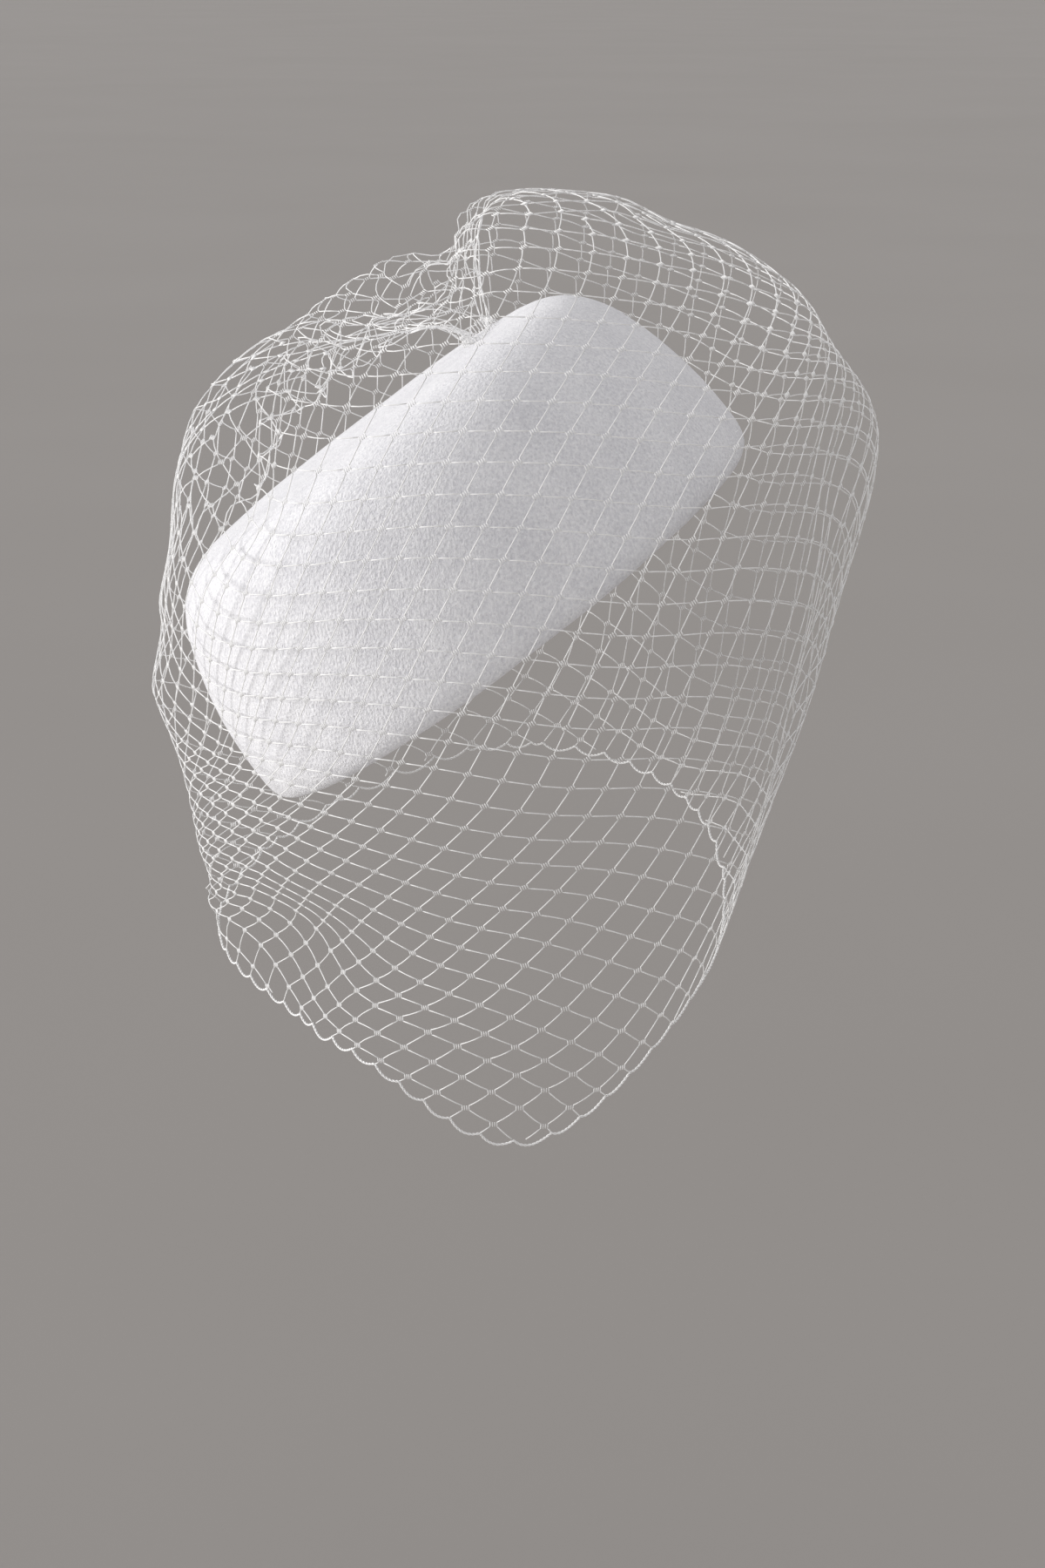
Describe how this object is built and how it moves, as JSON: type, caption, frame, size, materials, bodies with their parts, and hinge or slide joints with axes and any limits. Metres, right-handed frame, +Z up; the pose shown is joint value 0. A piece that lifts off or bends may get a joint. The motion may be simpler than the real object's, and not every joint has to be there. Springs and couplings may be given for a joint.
{
  "type": "pillbox hat with birdcage veil",
  "caption": "Tilted white felt pillbox hat, hollow and open below, with a net veil gathered on its tip, puffed over the crown and hanging round the head to the chin.",
  "frame": {"origin": "middle of the crown's rim, where a head sits in it", "axes": "+Z up as the hat is worn, -Y the way the wearer faces, +X to the wearer's left; the crown leans down over the wearer's right"},
  "size_m": [0.2303, 0.2142, 0.2793],
  "materials": {
    "felt": "matte white wool felt with a short soft nap",
    "net": "white knotted net of fine smooth thread"
  },
  "bodies": {
    "root": {"felt_crown": "felt", "veil": "net"}
  },
  "joints": []
}
